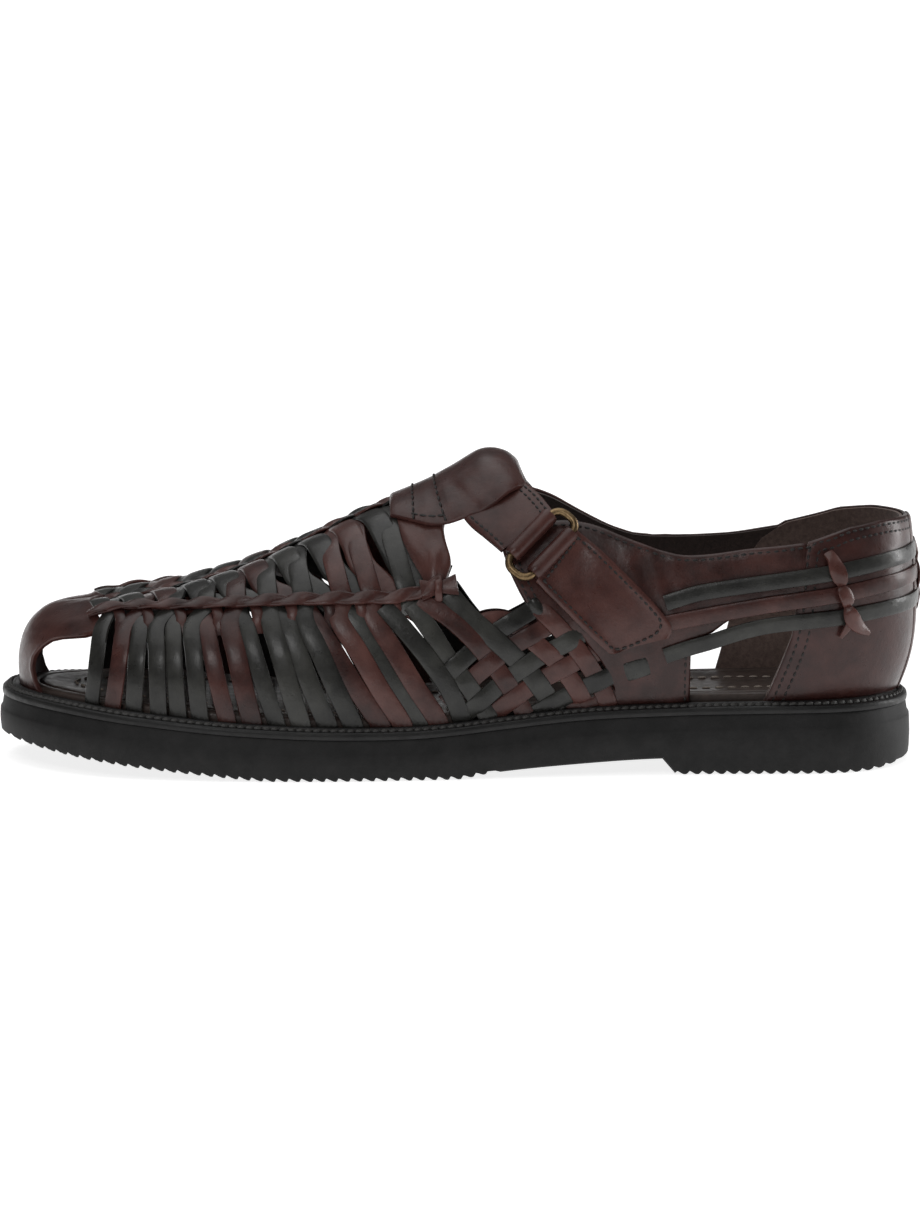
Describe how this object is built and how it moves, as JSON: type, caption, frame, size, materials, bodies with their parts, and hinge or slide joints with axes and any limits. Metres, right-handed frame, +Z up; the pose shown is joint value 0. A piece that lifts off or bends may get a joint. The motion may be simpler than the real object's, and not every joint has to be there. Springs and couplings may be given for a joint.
{
  "type": "huarache sandal",
  "caption": "Left closed-toe woven leather huarache sandal on a ripple-tread rubber sole, with an instep strap through a tongue loop, a wire ring and a fold-back flap.",
  "frame": {"origin": "bottom centre of the whole shoe's bounding box, on the floor", "axes": "toe towards -X, heel towards +X, outer (lateral) side towards -Y, inner (medial) side towards +Y, +Z up"},
  "size_m": [0.2988, 0.1034, 0.1018],
  "materials": {
    "sole_rubber": "matt black",
    "welt_leather": "satin black with black stitches",
    "insole_leather": "dark, worn smooth",
    "woven_leather": "semi-gloss oxblood brown, mixed with black strips",
    "strap_leather": "semi-gloss oxblood brown",
    "ring_brass": "aged brass"
  },
  "bodies": {
    "root": {"outsole": "sole_rubber", "welt": "welt_leather", "insole": "insole_leather", "upper": "woven_leather", "saddle": "strap_leather", "instep_strap": "strap_leather", "flap": "strap_leather", "ring": "ring_brass"}
  },
  "joints": []
}
